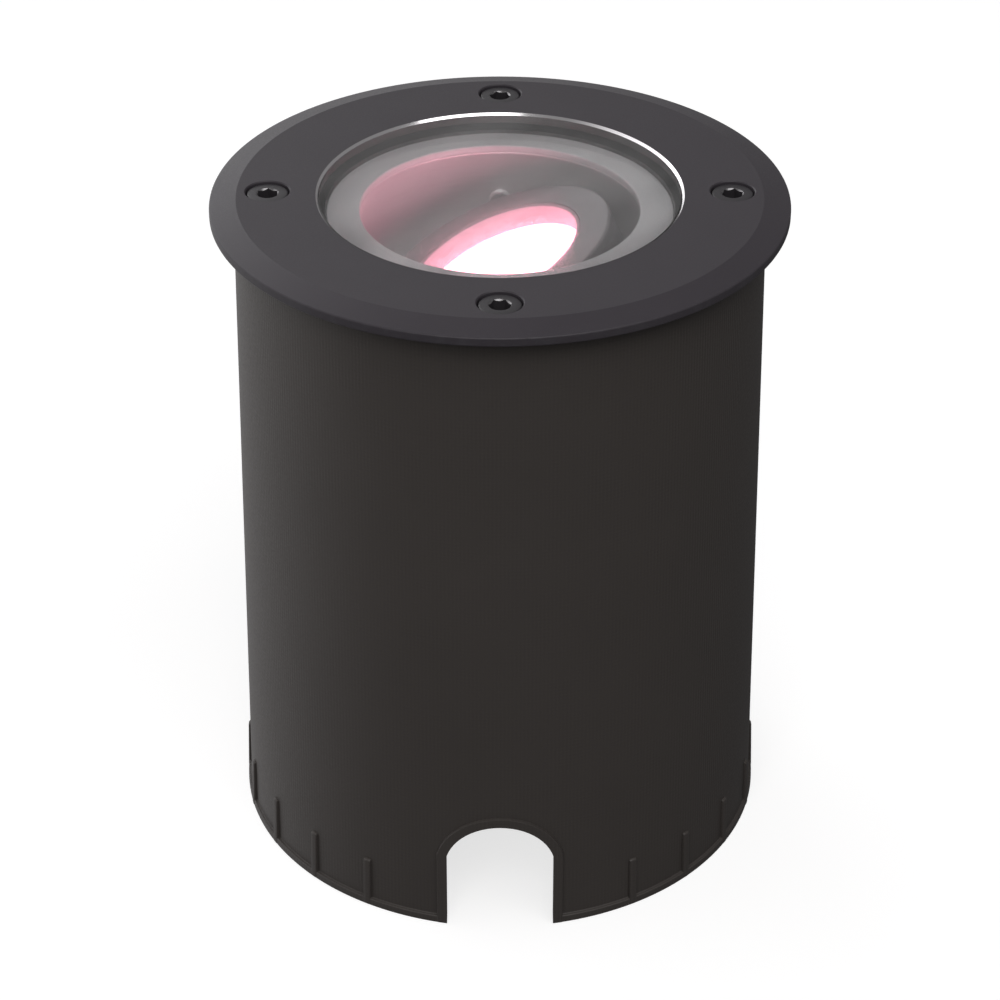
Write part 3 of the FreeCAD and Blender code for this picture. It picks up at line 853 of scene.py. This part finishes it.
coverSettings = {
    "faceRadius": 54.4,
    "chamferDrop": 1.35,
    "rimThickness": 3.3,
    "seatRadius": 55.4,
    "seatDepth": 0.4,
    "registerRadius": 53.1,
    "pocketRadius": 42.0,
    "openingRadius": 38.05,
    "openingChamfer": 0.5,
    "lipThickness": 4.6,
    "screwCircle": 48.0,
    "boreRadius": 4.6,
    "boreDepth": 5.5,
    "boreChamfer": 0.22,
    "holeRadius": 2.75,
}


def makeCover(settings):
    low, top = heightsOf("cover_ring")
    rim = halfWidth("cover_ring")
    chamferLow = top - settings["chamferDrop"]
    underside = top - settings["rimThickness"]
    lipLow = top - settings["lipThickness"]
    wall = settings["openingRadius"] - settings["openingChamfer"]
    cover = turnedPiece("coverPlate", [
        (settings["openingRadius"], top, 0),
        (settings["faceRadius"], top, 0.8),
        (rim, chamferLow, 0.4),
        (rim, underside, 0.4),
        (settings["seatRadius"], underside, 0),
        (settings["seatRadius"], underside + settings["seatDepth"], 0),
        (settings["registerRadius"], underside + settings["seatDepth"], 0),
        (settings["registerRadius"], low, 0.4),
        (settings["pocketRadius"], low, 0.3),
        (settings["pocketRadius"], lipLow, 0.15),
        (wall, lipLow, 0.15),
        (wall, top - settings["openingChamfer"], 0),
    ], shapingSettings["wideSteps"])
    bore = settings["boreRadius"]
    chamfer = settings["boreChamfer"]
    tools = []
    for x, y in ringOfPoints(settings["screwCircle"], 4):
        tools.append(turnedPiece("screwBore", [
            (0, low - 1, 0),
            (settings["holeRadius"], low - 1, 0),
            (settings["holeRadius"], top - settings["boreDepth"], 0),
            (bore, top - settings["boreDepth"], 0),
            (bore, top - chamfer, 0),
            (bore + chamfer * 2, top + chamfer, 0),
            (0, top + chamfer, 0),
        ], shapingSettings["screwSteps"], (x, y, 0)))
    combine(cover, joinPieces(tools), "DIFFERENCE")

    def coatOrBare(centre, normal):
        # the opening's chamfer is machined bare
        onChamfer = math.hypot(centre.x, centre.y) < settings["openingRadius"] and normal.z > 0.5
        return 1 if onChamfer else 0

    finishPiece(cover, "lamp", "cover_ring", [finishes["cover_coat"], bareEdge], coatOrBare)


screwSettings = {
    "headRadius": 4.38,
    "headHeight": 5.0,
    "crown": 0.45,
    "socketAcross": 4.0,
    "socketDepth": 2.5,
    "socketChamfer": 0.35,
    "drillDepth": 0.9,
    "drillGap": 0.1,  # the drilled hollow inside the hexagon's flats
    "drillRise": 0.3,
    "shankRadius": 2.4,
    "threadPitch": 0.8,
    "threadDepth": 0.35,
    "pointTaper": 0.2,
    "pointHeight": 0.4,
    "neckGap": 0.1,
    "turns": (0.26, 0.9, 0.52, 0.05),  # how far each screw is turned
}


def makeScrew(settings, number, x, y):
    # a cylinder head with a hexagon socket, and a ridged shank
    low, top = heightsOf("cover_screws")
    headLow = top - settings["headHeight"]
    shank = settings["shankRadius"]
    pitch = settings["threadPitch"]
    core = shank - settings["threadDepth"]
    neck = shank - settings["neckGap"]
    corners = [(0, low, 0), (core - settings["pointTaper"], low, 0)]
    height = low + settings["pointHeight"]
    while height < headLow - 2 * pitch:
        corners += [(core, height, 0), (shank, height + pitch / 2, 0)]
        height += pitch
    corners += [
        (core, height, 0),
        (neck, headLow - pitch, 0),
        (neck, headLow, 0),
        (settings["headRadius"], headLow, 0.2),
        (settings["headRadius"], top, settings["crown"]),
        (0, top, 0),
    ]
    screw = turnedPiece(f"coverScrew{number + 1}", corners, shapingSettings["screwSteps"])
    turn = settings["turns"][number]
    across = settings["socketAcross"] / math.sqrt(3)
    floor = top - settings["socketDepth"]
    hexagon = prismPiece("socketTool", ringOfPoints(across, 6, turn), floor, top + 1)
    combine(screw, hexagon, "DIFFERENCE")
    chamfer = settings["socketChamfer"]
    mouth = turnedPiece("mouthTool", [
        (0, top - chamfer, 0),
        (across - chamfer, top - chamfer, 0),
        (across + chamfer, top + chamfer, 0),
        (0, top + chamfer, 0),
    ], shapingSettings["smallSteps"])
    combine(screw, mouth, "DIFFERENCE")
    drillRadius = settings["socketAcross"] / 2 - settings["drillGap"]
    drillTop = floor + settings["drillRise"]
    drill = turnedPiece("drillTool", [
        (0, floor - settings["drillDepth"], 0),
        (drillRadius, floor, 0),
        (drillRadius, drillTop, 0),
        (0, drillTop, 0),
    ], shapingSettings["smallSteps"])
    combine(screw, drill, "DIFFERENCE")
    spin(screw, Matrix.Identity(4), (x, y, 0))

    def blackOrBare(centre, normal):
        # the key has rubbed the socket's mouth bare
        inSocket = math.hypot(centre.x - x, centre.y - y) < across + chamfer
        onMouth = centre.z > top - 1.5 * chamfer and 0.3 < normal.z < 0.95
        return 1 if inSocket and onMouth else 0

    finishPiece(screw, "lamp", "cover_screws", [finishes["cover_screw"], bareSocket], blackOrBare)


makeCover(coverSettings)
for number, (x, y) in enumerate(ringOfPoints(coverSettings["screwCircle"], 4)):
    makeScrew(screwSettings, number, x, y)
print("cover and screws made")


# Glass and bezel

glassSettings = {"discRadius": 37.5, "bevel": 0.15, "flangeThickness": 3.0}


def makeGlass(settings):
    low, top = heightsOf("glass_lens")
    flange = halfWidth("glass_lens")
    flangeTop = low + settings["flangeThickness"]
    glass = turnedPiece("frontGlass", [
        (0, low, 0),
        (flange, low, 0.3),
        (flange, flangeTop, 0.3),
        (settings["discRadius"], flangeTop, 0),
        (settings["discRadius"], top - settings["bevel"], 0),
        (settings["discRadius"] - settings["bevel"], top, 0),
        (0, top, 0),
    ], shapingSettings["wideSteps"])

    def clearOrGround(centre, normal):
        # both faces are polished, every other surface is ground
        level = abs(normal.z) > 0.99
        onDisc = math.hypot(centre.x, centre.y) < settings["discRadius"]
        return 0 if level and onDisc else 1

    finishPiece(glass, "lamp", "glass_lens", [finishes["lens_glass"], groundGlass], clearOrGround)


bezelSettings = {"innerRadius": 29.0, "thickness": 1.6, "skirtThickness": 1.2, "crown": 0.3}


def makeBezel(settings):
    low, top = heightsOf("bezel_ring")
    outer = halfWidth("bezel_ring")
    plateLow = top - settings["thickness"]
    skirt = outer - settings["skirtThickness"]
    bezel = turnedPiece("bezelTrim", [
        (settings["innerRadius"], top, 0.35),
        (outer, top - settings["crown"], 0.25),
        (outer, low, 0.2),
        (skirt, low, 0.2),
        (skirt, plateLow, 0.2),
        (settings["innerRadius"], plateLow, 0.3),
    ], shapingSettings["wideSteps"])
    finishPiece(bezel, "lamp", "bezel_ring", [finishes["bezel_satin"]])


makeGlass(glassSettings)
makeBezel(bezelSettings)
print("glass and bezel made")


# Swivel cup

pivot = Vector(joints["module_tilt"]["pos_m"]) / mm

cupSettings = {
    "innerRadius": 31.7,
    "wall": 1.6,
    "flangeDrop": 2.86,  # the flange's underside below the rim
    "flangeThickness": 1.16,
    "wireHole": 5.0,
    "bossRadius": 2.4,
    "bossStart": 31.0,
    "pinHole": 1.56,
    "pinReach": 40,
    "outlineSteps": 64,
    "hollowSteps": 48,
    "stopSize": (11.5, 2.0, 6.0),
    "stopStart": 20.9,
    "stopLow": 101.5,
}


def makeCup(settings):
    rim = heightsOf("swivel_cup")[1]
    flangeRadius = halfWidth("swivel_cup")
    inner = settings["innerRadius"]
    outer = inner + settings["wall"]
    middleOfWall = inner + settings["wall"] / 2
    rimRise = rim - pivot.z
    flangeLow = rim - settings["flangeDrop"]
    flangeTop = flangeLow + settings["flangeThickness"]
    flangeRise = flangeLow - pivot.z
    innerLow = -math.acos(settings["wireHole"] / inner)
    outerLow = -math.acos(settings["wireHole"] / outer)
    steps = settings["outlineSteps"]
    corners = arcCorners(pivot.z, inner, innerLow, math.asin(rimRise / inner), steps)
    corners[-1] = (corners[-1][0], rim, 0.3)
    corners += [
        (math.sqrt(outer ** 2 - rimRise ** 2), rim, 0.4),
        (math.sqrt(outer ** 2 - (flangeTop - pivot.z) ** 2), flangeTop, 0.2),
        (flangeRadius, flangeTop, 0.25),
        (flangeRadius, flangeLow, 0.25),
    ]
    corners += arcCorners(pivot.z, outer, math.asin(flangeRise / outer), outerLow, steps)
    cup = turnedPiece("swivelBowl", corners)
    bosses = []
    for side in (-1, 1):
        boss = turnedPiece("pivotBoss", [
            (0, settings["bossStart"], 0),
            (settings["bossRadius"], settings["bossStart"], 0.4),
            (settings["bossRadius"], middleOfWall, 0),
            (0, middleOfWall, 0),
        ], shapingSettings["smallSteps"])
        spin(boss, Matrix.Rotation(-side * math.pi / 2, 4, "X"), pivot)
        bosses.append(boss)
    length, thickness, height = settings["stopSize"]
    half = thickness / 2
    near = -settings["stopStart"]
    far = near - length
    outline = [(-half, near), (half, near), (half, far), (-half, far)]
    stop = prismPiece("stopFin", outline, settings["stopLow"], settings["stopLow"] + height)
    softenEdges(stop, 0.3, 60)
    steps = settings["hollowSteps"]
    ball = arcCorners(pivot.z, middleOfWall, -math.pi / 2, math.pi / 2, steps)
    hollow = turnedPiece("hollowTool", ball, 2 * steps)
    combine(stop, hollow, "DIFFERENCE")
    combine(cup, joinPieces(bosses + [stop]), "UNION")
    pin = rodPiece("pinTool", settings["pinHole"], -settings["pinReach"], settings["pinReach"])
    spin(pin, Matrix.Rotation(math.pi / 2, 4, "X"), pivot)
    combine(cup, pin, "DIFFERENCE")
    finishPiece(cup, "swivel", "swivel_cup", [finishes["cup_satin"]])


makeCup(cupSettings)
print("cup made")


# LED module, made about its pivot with its face up and then tilted

moduleSettings = {
    "restTilt": 22.5,  # degrees
    "faceRise": 3.2,
    "radius": 26.0,
    "depth": 9.2,
    "aperture": 18.4,
    "wellWall": 0.8,
    "wellDepth": 4.7,
    "wellRim": 0.15,
    "cavityRadius": 21.0,
    "diffuserThickness": 1.3,
    "diffuserGap": 0.2,
    "seatInset": 0.8,  # the diffuser's face steps down inside its seat
    "stepInset": 1.6,
    "stepDepth": 0.12,
    "screwCircle": 23.5,
    "screwHole": 1.25,
    "screwReach": 3.5,  # how far below the face the screw holes end
    "pinHole": 1.52,
    "pinReach": (22, 30),
}


def tiltModule(piece, settings):
    # the piece's own axes stay on the module's face, so its tool marks run round the module
    axis = Vector(joints["module_tilt"]["axis"])
    turn = Matrix.Rotation(math.radians(settings["restTilt"]), 4, axis)
    piece.matrix_world = Matrix.Translation(pivot * mm) @ turn


def makeModuleRing(settings):
    top = settings["faceRise"]
    low = top - settings["depth"]
    ledge = top - settings["wellDepth"]
    inner = settings["aperture"] + settings["wellWall"] + 0.1
    ring = turnedPiece("moduleRing", [
        (inner, top, 0.12),
        (settings["radius"], top, 0.6),
        (settings["radius"], low, 0.4),
        (settings["cavityRadius"], low, 0.2),
        (settings["cavityRadius"], ledge, 0),
        (inner, ledge, 0.2),
    ])
    tools = []
    for x, y in ringOfPoints(settings["screwCircle"], 4, math.pi / 4):
        holeTop = top - settings["screwReach"]
        tools.append(rodPiece("holeTool", settings["screwHole"], low - 1, holeTop, (x, y, 0)))
    for side in (-1, 1):
        pin = rodPiece("pinTool", settings["pinHole"], *settings["pinReach"])
        spin(pin, Matrix.Rotation(side * math.pi / 2, 4, "X"))
        tools.append(pin)
    combine(ring, joinPieces(tools), "DIFFERENCE")
    tiltModule(ring, settings)
    finishPiece(ring, "module", "module_ring", [finishes["module_satin"]])


def makeWell(settings):
    top = settings["faceRise"] - settings["wellRim"]
    low = settings["faceRise"] - settings["wellDepth"]
    outer = settings["aperture"] + settings["wellWall"]
    well = turnedPiece("lightWell", [
        (settings["aperture"], top, 0.25),
        (outer, top, 0.15),
        (outer, low, 0.1),
        (settings["aperture"], low, 0),
    ])
    tiltModule(well, settings)
    finishPiece(well, "module", "light_well", [finishes["well_white"]])


def makeDiffuser(settings):
    top = settings["faceRise"] - settings["wellDepth"]
    low = top - settings["diffuserThickness"]
    radius = settings["cavityRadius"] - settings["diffuserGap"]
    stepLow = top - settings["stepDepth"]
    diffuser = turnedPiece("opalDiffuser", [
        (0, low, 0),
        (radius, low, 0.2),
        (radius, top, 0.2),
        (settings["aperture"] - settings["seatInset"], top, 0),
        (settings["aperture"] - settings["stepInset"], stepLow, 0),
        (0, stepLow, 0),
    ])
    tiltModule(diffuser, settings)
    finishPiece(diffuser, "module", "diffuser_disc", [finishes["diffuser_lit"]])


makeModuleRing(moduleSettings)
makeWell(moduleSettings)
makeDiffuser(moduleSettings)
print("module made")


# Housing, gland and plug, which show when the lamp is lifted out

softenSettings = {
    "lamp_housing": ("finnedHousing", 0.35),
    "gland_body": ("glandBody", 0.25),
    "gland_nut": ("glandNut", 0.35),
    "blanking_plug": ("portPlug", 0.3),
    "heat_sink": ("finnedSink", 0.15),
}


mendSettings = {
    "weld": 0.0005 * mm,
    "flat": math.radians(0.5),  # neighbouring faces that turn less than this become one
    "sharp": 40.0,  # degrees, edges that turn more than this are rounded
}


def softened(node, name, width, body, settings):
    # the CAD node's own shape, with its sharp edges rounded
    piece = bpy.data.objects.new(name, nodes[node].data.copy())
    bpy.context.scene.collection.objects.link(piece)
    bm = bmesh.new()
    bm.from_mesh(piece.data)
    bmesh.ops.remove_doubles(bm, verts=bm.verts, dist=settings["weld"])
    bmesh.ops.dissolve_limit(bm, angle_limit=settings["flat"], verts=bm.verts, edges=bm.edges)
    bm.to_mesh(piece.data)
    bm.free()
    softenEdges(piece, width, settings["sharp"])
    finishPiece(piece, body, node, [finishes[slotOf[node]]])


bodyOf = {}
for body, members in frame["record"]["behaviour"]["bodies"].items():
    for node in members:
        bodyOf[node] = body
for node, (name, width) in softenSettings.items():
    softened(node, name, width, bodyOf[node], mendSettings)
print("housing pieces softened")
